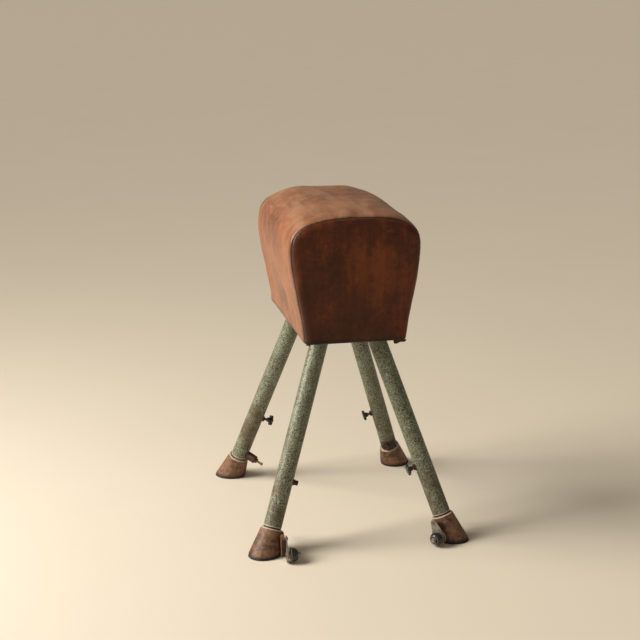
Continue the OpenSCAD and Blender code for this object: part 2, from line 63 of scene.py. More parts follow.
SEAM_HALF_GAP = 0.0025
CENTRE_Y = (cover_low.y + cover_high.y) / 2
HEM_Z = cover_low.z
HALF_SEAM = (cover_high.y - cover_low.y) / 2 + SEAM_HALF_GAP
SIDE_SWELL = 0.003
HALF_WIDTH = cover_high.x - SIDE_SWELL
BOTTOM_HALF = 0.142
SHOULDER_Z = 0.822
CROWN = 0.015
RISE = cover_high.z - SHOULDER_Z - CROWN
LEATHER = board_low.z - HEM_Z - 0.0002
HEM_WIDTH = 0.023
END_TURN = 0.033
HEM_Y = HALF_SEAM - END_TURN
EDGE_RADIUS = 0.024
ARC_TO_SEAM = 0.008
ARC_START = HALF_SEAM - ARC_TO_SEAM
END_DOME = CENTRE_Y - front_low.y - ARC_START - EDGE_RADIUS
DOME_Z = 0.735
CORNER_RADIUS = 0.008
SHOULDER_POWER = 0.74
SEAM_CLEAR = 0.0009
SKIN = LEATHER - 0.0003


class Waves:
    """Smooth repeatable noise: a sum of plane waves with seeded directions. Called with points."""

    def __init__(self, seed, wavelength, count=10):
        rng = np.random.RandomState(seed)
        way = rng.normal(size=(count, 3))
        way /= np.linalg.norm(way, axis=1)[:, None]
        length = wavelength * rng.uniform(0.7, 1.5, count)
        self.way = way * (2 * math.pi / length)[:, None]
        self.phase = rng.uniform(0, 2 * math.pi, count)
        self.gain = math.sqrt(2 / count)

    def __call__(self, points):
        return np.sin(points @ self.way.T + self.phase).sum(-1) * self.gain


def smoothstep(low, high, value):
    t = np.clip((value - low) / (high - low), 0, 1)
    return t * t * (3 - 2 * t)


# ---------------------------------------------------------------------------
# Mesh helpers
# ---------------------------------------------------------------------------


def new_mesh(name, points, faces, body, smooth=True):
    mesh = bpy.data.meshes.new(name)
    mesh.from_pydata([tuple(map(float, p)) for p in points], [], [tuple(map(int, f)) for f in faces])
    mesh.validate()
    mesh.update()
    mesh.polygons.foreach_set("use_smooth", [smooth] * len(mesh.polygons))
    piece = bpy.data.objects.new(name, mesh)
    bpy.context.scene.collection.objects.link(piece)
    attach(piece, body)
    return piece


def grid_faces(rows, columns, closed=False, start=0, flip=False):
    faces = []
    for r in range(rows - 1):
        for c in range(columns if closed else columns - 1):
            d = (c + 1) % columns
            face = [start + r * columns + c, start + r * columns + d,
                    start + (r + 1) * columns + d, start + (r + 1) * columns + c]
            faces.append(face[::-1] if flip else face)
    return faces


def grid_normals(grid, closed=False):
    """Outward normals of a grid of points, rows along the first index."""
    if closed:
        across = np.roll(grid, -1, axis=1) - np.roll(grid, 1, axis=1)
    else:
        across = np.gradient(grid, axis=1)
    along = np.gradient(grid, axis=0)
    normal = np.cross(along, across)
    length = np.linalg.norm(normal, axis=2, keepdims=True)
    return normal / np.maximum(length, 1e-12)


def sheet_faces(rows, columns, closed=False):
    """Faces of a thick sheet: an outer grid, then an inner grid of the same size."""
    count = rows * columns
    faces = grid_faces(rows, columns, closed)
    faces += grid_faces(rows, columns, closed, count, True)
    for r, turn in ((0, True), (rows - 1, False)):
        for c in range(columns if closed else columns - 1):
            d = (c + 1) % columns
            face = [r * columns + c, r * columns + d, count + r * columns + d, count + r * columns + c]
            faces.append(face if turn else face[::-1])
    if not closed:
        for c, turn in ((0, False), (columns - 1, True)):
            for r in range(rows - 1):
                face = [r * columns + c, (r + 1) * columns + c,
                        count + (r + 1) * columns + c, count + r * columns + c]
                faces.append(face[::-1] if turn else face)
    return faces


def tube_along(path, radius, sides, closed=False):
    """Points and faces of a tube that follows a path; radius is one number or one for each point."""
    path = np.asarray(path, float)
    count = len(path)
    radius = np.broadcast_to(radius, (count,))
    if closed:
        tangent = np.roll(path, -1, axis=0) - np.roll(path, 1, axis=0)
    else:
        tangent = np.gradient(path, axis=0)
    tangent /= np.linalg.norm(tangent, axis=1)[:, None]
    up = np.cross(tangent[0], [0.3, 0.5, 0.8])
    points = []
    for i in range(count):
        up = up - tangent[i] * (up @ tangent[i])
        up /= np.linalg.norm(up)
        side = np.cross(tangent[i], up)
        for a in np.linspace(0, 2 * math.pi, sides, endpoint=False):
            points.append(path[i] + radius[i] * (math.cos(a) * up + math.sin(a) * side))
    faces = []
    for i in range(count if closed else count - 1):
        j = (i + 1) % count
        for a in range(sides):
            b = (a + 1) % sides
            faces.append([i * sides + a, j * sides + a, j * sides + b, i * sides + b])
    if not closed:
        faces.append(list(range(sides)))
        faces.append([(count - 1) * sides + a for a in range(sides)][::-1])
    return points, faces


# ---------------------------------------------------------------------------
# The cover's surface
# ---------------------------------------------------------------------------


def edge_inset(y):
    """How far the surface has turned in at y, around the rounded edge of an end."""
    s = np.clip((abs(y) - ARC_START) / EDGE_RADIUS, 0, 1)
    return EDGE_RADIUS * (1 - math.sqrt(1 - s * s))


def section(y, inset, lift=0.0, closed=False, count=200):
    """Section of the cover at y: count [x, z] points, evenly spaced from the right hem to the left one."""
    left = max(0.0, 1 - (y / HALF_SEAM) ** 4)
    half = HALF_WIDTH + SIDE_SWELL * left - inset
    rise = RISE + CROWN * left - inset
    foot = BOTTOM_HALF - inset
    low = HEM_Z + lift
    points = []
    if not closed:
        points.append((BOTTOM_HALF - HEM_WIDTH, low))
    for a in np.radians(np.linspace(-90, 0, 9)):
        points.append((foot - CORNER_RADIUS + CORNER_RADIUS * math.cos(a),
                       low + CORNER_RADIUS + CORNER_RADIUS * math.sin(a)))
    base = low + CORNER_RADIUS
    for z in np.linspace(base, SHOULDER_Z, 40)[1:-1]:
        u = (z - HEM_Z) / (SHOULDER_Z - HEM_Z)
        share = 1 - (1 - u ** 1.5) ** 1.8
        points.append((foot + (half - foot) * share, z))
    for a in np.linspace(0, math.pi / 2, 60):
        points.append((half * math.cos(a) ** SHOULDER_POWER,
                       SHOULDER_Z + rise * math.sin(a) ** SHOULDER_POWER))
    right = np.array(points)
    path = np.vstack([right, right[-2::-1] * [-1, 1]])
    if closed:
        path = np.vstack([path, path[:1]])
    step = np.r_[0, np.cumsum(np.linalg.norm(np.diff(path, axis=0), axis=1))]
    at = np.linspace(0, step[-1], count, endpoint=not closed)
    return np.stack([np.interp(at, step, path[:, i]) for i in (0, 1)], axis=1)


lumps = Waves(11, 0.16)
small_lumps = Waves(12, 0.055)
fold_bend = Waves(13, 0.22)
fold_strength = Waves(14, 0.30)


def settle(points, normals):
    """Height by which stuffing and tension move the leather, along its normal."""
    x, y, z = points[..., 0], points[..., 1] - CENTRE_Y, points[..., 2]
    height = 0.0011 * lumps(points) + 0.00035 * small_lumps(points)
    side = smoothstep(0.55, 0.9, np.abs(normals[..., 0]))
    low = smoothstep(0.80, 0.63, z) * (0.35 + 0.65 * smoothstep(0.575, 0.60, z))
    phase = 2 * math.pi * y / 0.078 + 1.6 * fold_bend(points) + 1.3 * np.sign(x)
    folds = 0.0016 * np.sin(phase) * (0.6 + 0.4 * fold_strength(points))
    height = height + side * low * folds
    seam = np.exp(-((HALF_SEAM - np.abs(y)) / 0.0055) ** 2)
    puff = np.exp(-((HALF_SEAM - np.abs(y) - 0.020) / 0.013) ** 2)
    height = height - 0.0022 * seam + 0.0010 * puff
    hem = 1 - smoothstep(HEM_Z, HEM_Z + 0.012, z)
    return height * (1 - 0.85 * hem)


def make_cover():
    """Sides and top in one sheet, from hem to hem."""
    rows, columns = ((150, 420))
    reach = HALF_SEAM - SEAM_CLEAR
    t = np.linspace(-1, 1, rows)
    ys = reach * np.sign(t) * (1 - (1 - np.abs(t)) ** 1.25)
    outer = np.zeros((rows, columns, 3))
    for r, y in enumerate(ys):
        outer[r, :, [0, 2]] = section(y, edge_inset(y), count=columns).T
        outer[r, :, 1] = y + CENTRE_Y
    normals = grid_normals(outer)
    outer += normals * settle(outer, normals)[..., None]
    inner = outer - grid_normals(outer) * SKIN
    points = np.vstack([outer.reshape(-1, 3), inner.reshape(-1, 3)])
    piece = new_mesh("leather_cover", points, sheet_faces(rows, columns), "frame")
    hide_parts("leather_main")
    return piece


dome_lumps = Waves(21, 0.13)


def make_end(end, name, node):
    """Domed end panel: rounded edge first, then rings that close on its middle."""
    columns = 440
    start = HALF_SEAM + SEAM_CLEAR
    first = math.asin((start - ARC_START) / EDGE_RADIUS)
    rings = []
    for a in np.linspace(first, math.pi / 2, 14):
        y = ARC_START + EDGE_RADIUS * math.sin(a)
        inset = EDGE_RADIUS * (1 - math.cos(a))
        share = (a - first) / (math.pi / 2 - first)
        path = section(y, inset, 0.006 * (1 - math.cos(share * math.pi / 2)), True, columns)
        rings.append(np.c_[path[:, 0], np.full(columns, y), path[:, 1]])
    rim = rings[-1]
    for s in np.linspace(1, 0, 42)[1:]:
        s = max(s, 0.004)
        ring = rim * [s, 1, s] + [0, END_DOME * (1 - s * s), DOME_Z * (1 - s)]
        rings.append(ring)
    outer = np.array(rings) * [1, end, 1] + [0, CENTRE_Y, 0]
    normals = grid_normals(outer, True)
    normals = normals * np.sign((normals[..., 1] * end).mean())
    x, y, z = outer[..., 0], np.abs(outer[..., 1] - CENTRE_Y), outer[..., 2]
    inside = smoothstep(HALF_SEAM + 0.004, HALF_SEAM + 0.010, y)
    height = 0.0012 * dome_lumps(outer) * inside
    height -= 0.0022 * np.exp(-((y - HALF_SEAM) / 0.0045) ** 2)
    height += 0.0008 * np.exp(-((y - HALF_SEAM - 0.010) / 0.006) ** 2)
    height -= 0.0018 * inside * np.exp(-((z - 0.70) / 0.05) ** 2) * (1 - (x / 0.18) ** 2)
    height *= smoothstep(HEM_Z - 0.001, HEM_Z + 0.02, z)
    outer = outer + normals * height[..., None]
    inner = outer - normals * SKIN
    points = np.vstack([outer.reshape(-1, 3), inner.reshape(-1, 3)])
    faces = sheet_faces(outer.shape[0], columns, True)
    if end > 0:
        faces = [f[::-1] for f in faces]
    piece = new_mesh(name, points, faces, "frame")
    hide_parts(node)
    return piece


def make_welts():
    """Narrow piped welt that stands in each end seam."""
    points, faces = [], []
    count = 420
    for end in (-1, 1):
        inset = edge_inset(HALF_SEAM)
        path = section(HALF_SEAM, inset, count=count)
        path = path[8:-8]
        centre = np.c_[path[:, 0], np.full(len(path), end * HALF_SEAM + CENTRE_Y), path[:, 1]]
        tangent = np.gradient(path, axis=0)
        out = np.c_[tangent[:, 1], np.zeros(len(path)), -tangent[:, 0]]
        out /= np.linalg.norm(out, axis=1)[:, None]
        tilt = math.asin((HALF_SEAM - ARC_START) / EDGE_RADIUS)
        normal = out * math.cos(tilt) + np.array([0, end, 0]) * math.sin(tilt)
        bead = 0.0017 * (1 + 0.05 * np.sin(np.arange(len(path)) * 0.9))
        ring, ring_faces = tube_along(centre + normal * (-0.0026), bead, 12)
        faces += [[i + len(points) for i in f] for f in ring_faces]
        points += ring
    piece = new_mesh("seam_welts", points, faces, "frame")
    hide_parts("welts")
    return piece


ragged = Waves(31, 0.035)


def make_hem_flap(end, name):
    """End of the cover turned under the box, with its cut edge left a little uneven."""
    columns, rows = 120, 14
    half = BOTTOM_HALF - HEM_WIDTH - 0.0006
    outer = np.zeros((rows, columns, 3))
    for r in range(rows):
        for c in range(columns):
            x = half * (2 * c / (columns - 1) - 1)
            cut = HEM_Y + 0.0012 * float(ragged(np.array([x, end, 0.0])))
            y = cut + (HALF_SEAM + 0.0035 - cut) * r / (rows - 1)
            sag = 0.0005 * float(small_lumps(np.array([x * 2, y, 0.3])))
            outer[r, c] = [x, end * y + CENTRE_Y, HEM_Z + 0.0002 + min(0.0, sag)]
    inner = outer + [0, 0, LEATHER - 0.0006]
    points = np.vstack([outer.reshape(-1, 3), inner.reshape(-1, 3)])
    faces = sheet_faces(rows, columns)
    if end > 0:
        faces = [f[::-1] for f in faces]
    return new_mesh(name, points, faces, "frame")


def make_corner_tab(side, end, name, drop, width):
    """Folded end of a seam that hangs just below the hem at a corner."""
    rows, columns = 12, 24
    outer = np.zeros((rows, columns, 3))
    for r in range(rows):
        for c in range(columns):
            u, v = c / (columns - 1), r / (rows - 1)
            x = BOTTOM_HALF - 0.004 - width * u
            hang = (0.5 + 0.5 * u ** 1.5) * (1 - (2 * u - 1) ** 8) ** 0.5
            z = HEM_Z + 0.003 - (drop + 0.003) * v * hang - 0.0007 * v * math.sin(11 * u)
            y = HALF_SEAM + 0.0125 - 0.004 * v * v + 0.0012 * math.sin(5 * u + 2 * v)
            outer[r, c] = [side * x, end * y + CENTRE_Y, z]
    inner = outer - np.array([0, end * 0.0024, 0])
    points = np.vstack([outer.reshape(-1, 3), inner.reshape(-1, 3)])
    faces = sheet_faces(rows, columns)
    if side * end > 0:
        faces = [f[::-1] for f in faces]
    return new_mesh(name, points, faces, "frame")


# ---------------------------------------------------------------------------
# Welds
# ---------------------------------------------------------------------------


def leg_line(leg):
    """A point on the leg's axis at the floor, and its upward direction."""
    mount = next(m for m in RECORD["mounts"] if m["name"] == f"foot_rest_{leg}")
    return Vector(mount["pos_m"]), -Vector(JOINTS[f"leg_slide_{leg}"]["axis"]).normalized()


TUBE_RADIUS = 0.025
BOSS_RADIUS = 0.008


def make_flange_weld(leg):
    """Weld bead around the top of an outer tube, under its flange."""
    foot, up = leg_line(leg)
    side = up.orthogonal().normalized()
    other = up.cross(side)
    rng = np.random.RandomState(LEGS.index(leg) + 41)
    count = 150
    path = []
    for a in np.linspace(0, 2 * math.pi, count, endpoint=False):
        rim = foot + (TUBE_RADIUS + 0.0004) * (math.cos(a) * side + math.sin(a) * other)
        path.append(rim + up * ((flange_low.z - 0.0008 - rim.z) / up.z))
    ripple = 0.0024 + 0.00035 * np.sin(np.arange(count) * 2 * math.pi * 34 / count)
    ripple += 0.0002 * rng.normal(size=count)
    points, faces = tube_along(path, ripple, 10, True)
    return new_mesh(f"flange_weld_{leg}", points, faces, "frame")


def make_boss_weld(leg):
    """Weld bead where a clamp boss meets its tube."""
    foot, up = leg_line(leg)
    joint = JOINTS[f"clamp_travel_{leg}"]
    out = Vector(joint["axis"]).normalized()
    side = up.cross(out).normalized()
    screw = Vector(JOINTS[f"clamp_turn_{leg}"]["pos_m"])
    middle = foot + up * (screw - foot).dot(up)
    count = 60
    path = []
    for a in np.linspace(0, 2 * math.pi, count, endpoint=False):
        across = BOSS_RADIUS * math.cos(a)
        reach = math.sqrt(TUBE_RADIUS ** 2 - across ** 2)
        path.append(middle + side * across + up * (BOSS_RADIUS * math.sin(a)) + out * (reach + 0.0003))
    ripple = 0.0013 + 0.0002 * np.sin(np.arange(count) * 2 * math.pi * 13 / count)
    points, faces = tube_along(path, ripple, 8, True)
    return new_mesh(f"boss_weld_{leg}", points, faces, "frame")


def make_roller_ring(leg):
    """Thin steel ring on the wheel's outer face."""
    joint = JOINTS[f"roller_spin_{leg}"]
    axle = Vector(joint["axis"]).normalized()
    wheel = Vector(joint["pos_m"])
    side = axle.orthogonal().normalized()
    other = axle.cross(side)
    path = []
    for a in np.linspace(0, 2 * math.pi, 96, endpoint=False):
        path.append(wheel + axle * 0.0082 + 0.0118 * (math.cos(a) * side + math.sin(a) * other))
    points, faces = tube_along(path, 0.0007, 8, True)
    return new_mesh(f"roller_ring_{leg}", points, faces, f"roller_{leg}")


# ---------------------------------------------------------------------------
# Materials
# ---------------------------------------------------------------------------


class Shader:
    """A node material in the piece's own coordinates."""

    def __init__(self, name):
        self.material = bpy.data.materials.new(name)
        self.material.use_nodes = True
        self.tree = self.material.node_tree
        self.bsdf = self.tree.nodes["Principled BSDF"]
        self.place = self.add("ShaderNodeTexCoord").outputs["Object"]

    def add(self, kind, **inputs):
        node = self.tree.nodes.new(kind)
        for key, value in inputs.items():
            self.give(node.inputs[key], value)
        return node

    def give(self, socket, value):
        if isinstance(value, bpy.types.NodeSocket):
            self.tree.links.new(value, socket)
        else:
            socket.default_value = value

    def scaled(self, scale, offset=(0, 0, 0)):
        node = self.add("ShaderNodeMapping", Vector=self.place)
        node.inputs["Scale"].default_value = scale
        node.inputs["Location"].default_value = offset
        return node.outputs["Vector"]

    def noise(self, scale, detail=4.0, roughness=0.55, stretch=(1, 1, 1), offset=(0, 0, 0), distortion=0.0):
        node = self.add("ShaderNodeTexNoise", Vector=self.scaled(stretch, offset))
        node.inputs["Scale"].default_value = scale
        node.inputs["Detail"].default_value = detail
        node.inputs["Roughness"].default_value = roughness
        node.inputs["Distortion"].default_value = distortion
        return node.outputs["Fac"]

    def cells(self, scale):
        node = self.add("ShaderNodeTexVoronoi", Vector=self.place)
        node.inputs["Scale"].default_value = scale
        return node.outputs["Distance"]

    def math(self, operation, a, b=0.0):
        node = self.add("ShaderNodeMath")
        node.operation = operation
        self.give(node.inputs[0], a)
        self.give(node.inputs[1], b)
        return node.outputs[0]

    def between(self, value, low, high, out_low=0.0, out_high=1.0):
        node = self.add("ShaderNodeMapRange")
        node.interpolation_type = "SMOOTHSTEP"
        for key, number in zip(("Value", "From Min", "From Max", "To Min", "To Max"),
                               (value, low, high, out_low, out_high)):
            self.give(node.inputs[key], number)
        return node.outputs[0]

    def mix(self, share, a, b):
        node = self.add("ShaderNodeMix")
        node.data_type = "RGBA"
        self.give(node.inputs["Factor"], share)
        for socket, value in ((node.inputs[6], a), (node.inputs[7], b)):
            if isinstance(value, tuple) and len(value) == 3:
                value = (*value, 1)
            self.give(socket, value)
        return node.outputs[2]

    def part(self, axis):
        """One of the place's coordinates, 0 to 2."""
        return self.add("ShaderNodeSeparateXYZ", Vector=self.place).outputs[axis]

    def facing(self, axis):
        """One of the surface normal's coordinates, 0 to 2."""
        geometry = self.add("ShaderNodeNewGeometry")
        return self.add("ShaderNodeSeparateXYZ", Vector=geometry.outputs["Normal"]).outputs[axis]

    def along_leg(self):
        """Distance up the nearest leg from the floor, the same for all four."""
        foot, up = leg_line("br")
        parts = self.add("ShaderNodeSeparateXYZ", Vector=self.place)
        x = self.math("SUBTRACT", self.math("ABSOLUTE", parts.outputs[0]), foot.x)
        y = self.math("SUBTRACT", self.math("ABSOLUTE", self.math("SUBTRACT", parts.outputs[1], CENTRE_Y)),
                      foot.y - CENTRE_Y)
        total = self.math("MULTIPLY", x, up.x)
        total = self.math("ADD", total, self.math("MULTIPLY", y, up.y))
        return self.math("ADD", total, self.math("MULTIPLY", parts.outputs[2], up.z))

    def bump(self, *layers):
        """Bump from layers of (height, distance in metres)."""
        normal = None
        for height, distance in layers:
            node = self.add("ShaderNodeBump", Height=height)
            node.inputs["Strength"].default_value = 1.0
            node.inputs["Distance"].default_value = distance
            if normal is not None:
                self.tree.links.new(normal, node.inputs["Normal"])
            normal = node.outputs["Normal"]
        self.tree.links.new(normal, self.bsdf.inputs["Normal"])

    def finish(self, color, roughness, metallic=0.0, **constants):
        if isinstance(color, tuple):
            color = (*color, 1)
        self.give(self.bsdf.inputs["Base Color"], color)
        self.give(self.bsdf.inputs["Roughness"], roughness)
        self.give(self.bsdf.inputs["Metallic"], metallic)
        for key, value in constants.items():
            self.bsdf.inputs[key.replace("_", " ")].default_value = value
        return self.material


def leather_material(name, light, middle, dark, dark_share, top_wear_and_sheen, wear_and_sheen_color, shine):
    s = Shader(name)
    broad = s.noise(4.5, 3, 0.5, distortion=0.4)
    cloud = s.noise(14, 6, 0.62, offset=(3, 1, 2), distortion=0.5)
    fine = s.noise(60, 6, 0.7, offset=(6, 2, 2))
    drip = s.noise(34, 4, 0.55, stretch=(1, 1, 0.12), offset=(1, 5, 2))
    tone = s.math("ADD", s.math("MULTIPLY", broad, 0.35),
                  s.math("ADD", s.math("MULTIPLY", cloud, 0.25),
                         s.math("ADD", s.math("MULTIPLY", drip, 0.22), s.math("MULTIPLY", fine, 0.18))))
    color = s.mix(s.between(tone, 0.40, 0.53), dark, middle)
    color = s.mix(s.between(tone, 0.49, 0.62), color, light)
    blotch = s.noise(7, 5, 0.62, offset=(7, 3, 9), distortion=0.7)
    color = s.mix(s.between(blotch, 0.48, 0.75, 0.0, dark_share), color, dark)
    # Darker towards the hem, painted shade in the seam grooves, and dirt beside the seams
    # Darker over the last 2 cm above the hem
    ragged_height = s.math("ADD", s.part(2), s.math("MULTIPLY", s.math("SUBTRACT", fine, 0.5), 0.02))
    color = s.mix(s.between(ragged_height, HEM_Z + 0.001, HEM_Z + 0.020, 0.85, 0.0),
                  color, tuple(0.22 * c for c in dark))
    from_centre = s.math("ABSOLUTE", s.math("SUBTRACT", s.part(1), CENTRE_Y))
    from_seam = s.math("ABSOLUTE", s.math("SUBTRACT", from_centre, HALF_SEAM))
    # Near-black band beside each seam: painted shade in the seam groove
    color = s.mix(s.between(from_seam, 0.0022, 0.0048, 1.0, 0.0), color, tuple(0.12 * c for c in dark))
    soil = s.math("MULTIPLY", s.between(from_seam, 0.004, 0.030, 0.5, 0.0), s.between(cloud, 0.35, 0.6))
    color = s.mix(soil, color, dark)
    # Dull, paler top: worn by hands and feet, and a painted sheen on the upward faces
    top = s.between(s.facing(2), 0.35, 0.95)
    streaks = s.noise(22, 5, 0.6, stretch=(1, 0.25, 1), offset=(9, 9, 1), distortion=0.4)
    worn = s.math("MULTIPLY", top, s.between(streaks, 0.35, 0.65, 0.25, 1.0))
    color = s.mix(s.math("MULTIPLY", worn, top_wear_and_sheen), color, wear_and_sheen_color)
    # Fine scratches
    scratch = None
    ways = (((1, 0.03, 1), (2, 0, 0)), ((0.03, 1, 0.4), (0, 4, 0)), ((1, 1, 0.04), (0, 0, 6)))
    for stretch, offset in ways:
        line = s.between(s.noise(110, 1, 0.3, stretch, offset), 0.70, 0.715)
        scratch = line if scratch is None else s.math("MAXIMUM", scratch, line)
    sparse = s.between(s.noise(8, 3, 0.5, offset=(5, 5, 5)), 0.54, 0.62)
    scratch = s.math("MULTIPLY", s.math("MULTIPLY", scratch, sparse),
                     s.between(s.facing(2), 0.2, 0.8, 0.25, 1.0))
    speck = s.math("MULTIPLY", s.between(s.cells(75), 0.035, 0.05, 1.0, 0.0),
                   s.between(s.noise(30, 2, 0.5, offset=(3, 7, 7)), 0.60, 0.64))
    mark = s.math("MAXIMUM", scratch, speck)
    color = s.mix(s.math("MULTIPLY", mark, 0.5), color, wear_and_sheen_color)
    grain = s.cells(620)
    pores = s.noise(1900, 2, 0.5)
    fold = s.noise(30, 4, 0.55, offset=(2, 8, 4), distortion=0.3)
    crease = s.between(s.math("ABSOLUTE", s.math("SUBTRACT", fold, 0.5)), 0.0, 0.03)
    s.bump((crease, 0.00022), (grain, 0.00012), (pores, 0.00004),
           (s.math("SUBTRACT", 1.0, scratch), 0.0001))
    roughness = s.math("ADD", s.between(cloud, 0.3, 0.7, 0.30, 0.42), s.math("MULTIPLY", worn, 0.14))
    roughness = s.math("ADD", roughness, s.math("MULTIPLY", mark, 0.15))
    return s.finish(color, roughness, Specular_IOR_Level=shine, Coat_Weight=0.06, Coat_Roughness=0.2)


def paint_material():
    """Hammered enamel: pale flecks and dark pits in grey-green, rusting towards the foot."""
    s = Shader("hammered_enamel")
    pits = s.cells(260)
    fleck = s.noise(300, 3, 0.65)
    patch = s.noise(26, 5, 0.65, offset=(1, 2, 3))
    color = s.mix(s.between(fleck, 0.36, 0.62), (0.10, 0.108, 0.068), (0.31, 0.335, 0.245))
    color = s.mix(s.between(patch, 0.40, 0.70, 0.0, 0.6), color, (0.105, 0.092, 0.048))
    speck = s.between(s.noise(250, 4, 0.7, offset=(9, 4, 1), distortion=0.4), 0.505, 0.575)
    color = s.mix(s.math("MULTIPLY", speck, 0.9), color, (0.022, 0.021, 0.012))
    up = s.along_leg()
    low = s.between(up, 0.08, 0.40, 1.0, 0.0)
    rust_noise = s.noise(13, 6, 0.7, offset=(4, 4, 0))
    rust = s.between(s.math("ADD", rust_noise, s.math("MULTIPLY", low, 0.12)), 0.53, 0.72, 0.0, 0.7)
    color = s.mix(rust, color, (0.085, 0.042, 0.018))
    chip = s.math("MULTIPLY", s.between(s.noise(95, 2, 0.6, offset=(2, 6, 1)), 0.70, 0.72),
                  s.between(s.noise(17, 2, 0.5, offset=(6, 1, 3)), 0.52, 0.6))
    color = s.mix(chip, color, (0.52, 0.49, 0.42))
    edge = s.math("ADD", up, s.math("MULTIPLY", s.math("SUBTRACT", fleck, 0.5), 0.004))
    # Pale bare metal worn at the tube's lower end; below it a near-black line, painted shade in the gap above the
    # foot
    color = s.mix(s.between(edge, 0.0785, 0.0800, 0.9, 0.0), color, (0.40, 0.35, 0.27))
    color = s.mix(s.between(edge, 0.0758, 0.0766, 1.0, 0.0), color, (0.012, 0.009, 0.006))
    # Black grease about the short latch of the back right leg
    corner = s.math("MULTIPLY", s.between(s.part(0), 0.05, 0.06),
                    s.between(s.part(1), CENTRE_Y, CENTRE_Y + 0.01))
    grease = s.math("MULTIPLY", corner, s.between(edge, 0.098, 0.112, 0.88, 0.0))
    color = s.mix(grease, color, (0.020, 0.010, 0.005))
    s.bump((patch, 0.0003), (pits, 0.0003), (fleck, 0.0002))
    roughness = s.math("ADD", s.between(fleck, 0.3, 0.7, 0.30, 0.48), s.math("MULTIPLY", rust, 0.25))
    return s.finish(color, roughness, Specular_IOR_Level=0.38)


def foot_material():
    """Cast foot with a brown patina, its rim worn to bare metal and small pale chips."""
    s = Shader("foot_patina")
    cloud = s.noise(20, 6, 0.65, distortion=0.5)
    fine = s.noise(110, 5, 0.7)
    color = s.mix(s.between(cloud, 0.35, 0.66), (0.070, 0.032, 0.017), (0.215, 0.112, 0.064))
    color = s.mix(s.between(fine, 0.45, 0.70, 0.0, 0.6), color, (0.26, 0.165, 0.11))
    color = s.mix(s.between(fine, 0.38, 0.48, 0.5, 0.0), color, (0.040, 0.018, 0.010))
    up = s.math("ADD", s.along_leg(), s.math("MULTIPLY", s.math("SUBTRACT", fine, 0.5), 0.003))
    color = s.mix(s.between(up, 0.0685, 0.0700, 0.0, 0.9), color, (0.50, 0.40, 0.31))
    # Near-black above the worn rim: painted shade on the collar, in the gap under the tube
    color = s.mix(s.between(up, 0.0718, 0.0724), color, (0.015, 0.010, 0.007))
    # Near-black just above the sole: painted shade where the foot meets the floor
    low = s.between(s.part(2), 0.006, 0.014, 0.8, 0.0)
    color = s.mix(low, color, (0.022, 0.014, 0.010))
    # Darker on the foot and lugs close behind the rollers
    for leg in ("fl", "fr"):
        roller = Vector(JOINTS[f"roller_spin_{leg}"]["pos_m"])
        away = s.add("ShaderNodeVectorMath")
        away.operation = "DISTANCE"
        s.give(away.inputs[0], s.place)
        away.inputs[1].default_value = (roller.x, roller.y, roller.z + 0.014)
        near = s.between(away.outputs["Value"], 0.037, 0.043, 0.85, 0.0)
        color = s.mix(near, color, (0.030, 0.013, 0.008))
    chip = s.math("MULTIPLY", s.between(s.noise(70, 3, 0.7, offset=(8, 1, 1)), 0.66, 0.68),
                  s.between(s.noise(14, 2, 0.5, offset=(1, 7, 2)), 0.52, 0.60))
    color = s.mix(s.math("MULTIPLY", chip, 0.85), color, (0.44, 0.31, 0.21))
    s.bump((cloud, 0.0008), (fine, 0.0003), (s.math("SUBTRACT", 1.0, chip), 0.0003))
    return s.finish(color, s.between(cloud, 0.3, 0.7, 0.42, 0.60), Specular_IOR_Level=0.28)


def worn_metal(name, base, tarnish, share, scale=60, roughness=(0.28, 0.5), metallic=0.9):
    """Metal with patches of tarnish or rust."""
    s = Shader(name)
    cloud = s.noise(scale, 5, 0.65, distortion=0.5)
    fine = s.noise(scale * 9, 3, 0.6)
    rust = s.between(cloud, 0.62 - 0.3 * share, 0.74 - 0.3 * share)
    color = s.mix(rust, base, tarnish)
    color = s.mix(s.between(fine, 0.45, 0.75, 0.0, 0.35), color, tarnish)
    s.bump((cloud, 0.00025), (fine, 0.00008))
    rough = s.math("ADD", s.between(fine, 0.3, 0.7, *roughness), s.math("MULTIPLY", rust, 0.25))
    return s.finish(color, rough, s.between(rust, 0.0, 1.0, metallic, metallic * 0.25))


def moulded(name, base, highlight, roughness):
    """Dark moulded plastic or enamel with dust."""
    s = Shader(name)
    dust = s.noise(90, 5, 0.6)
    fine = s.noise(900, 2, 0.5)
    color = s.mix(s.between(dust, 0.50, 0.75, 0.0, 0.45), base, highlight)
    s.bump((dust, 0.00015), (fine, 0.00003))
    return s.finish(color, s.between(dust, 0.35, 0.7, *roughness), Specular_IOR_Level=0.5)


def wood_material():
    s = Shader("plywood")
    ring = s.noise(9, 5, 0.55, stretch=(7, 0.8, 7), distortion=0.7)
    fibre = s.noise(420, 3, 0.6, stretch=(1, 0.04, 1))
    color = s.mix(s.between(ring, 0.35, 0.65), (0.30, 0.185, 0.095), (0.47, 0.325, 0.19))
    color = s.mix(s.between(fibre, 0.45, 0.8, 0.0, 0.45), color, (0.17, 0.095, 0.045))
    s.bump((fibre, 0.00025), (ring, 0.0002))
    return s.finish(color, s.between(fibre, 0.3, 0.7, 0.5, 0.7))


def felt_material():
    s = Shader("felt")
    nap = s.noise(60, 5, 0.7)
    hair = s.noise(700, 3, 0.7, stretch=(1, 0.15, 1), distortion=2.0)
    color = s.mix(s.between(nap, 0.3, 0.7), (0.42, 0.36, 0.27), (0.60, 0.53, 0.42))
    color = s.mix(s.between(hair, 0.5, 0.8, 0.0, 0.5), color, (0.25, 0.20, 0.14))
    s.bump((nap, 0.0015), (hair, 0.0006))
    return s.finish(color, s.between(hair, 0.3, 0.7, 0.85, 0.98), Sheen_Weight=0.4)


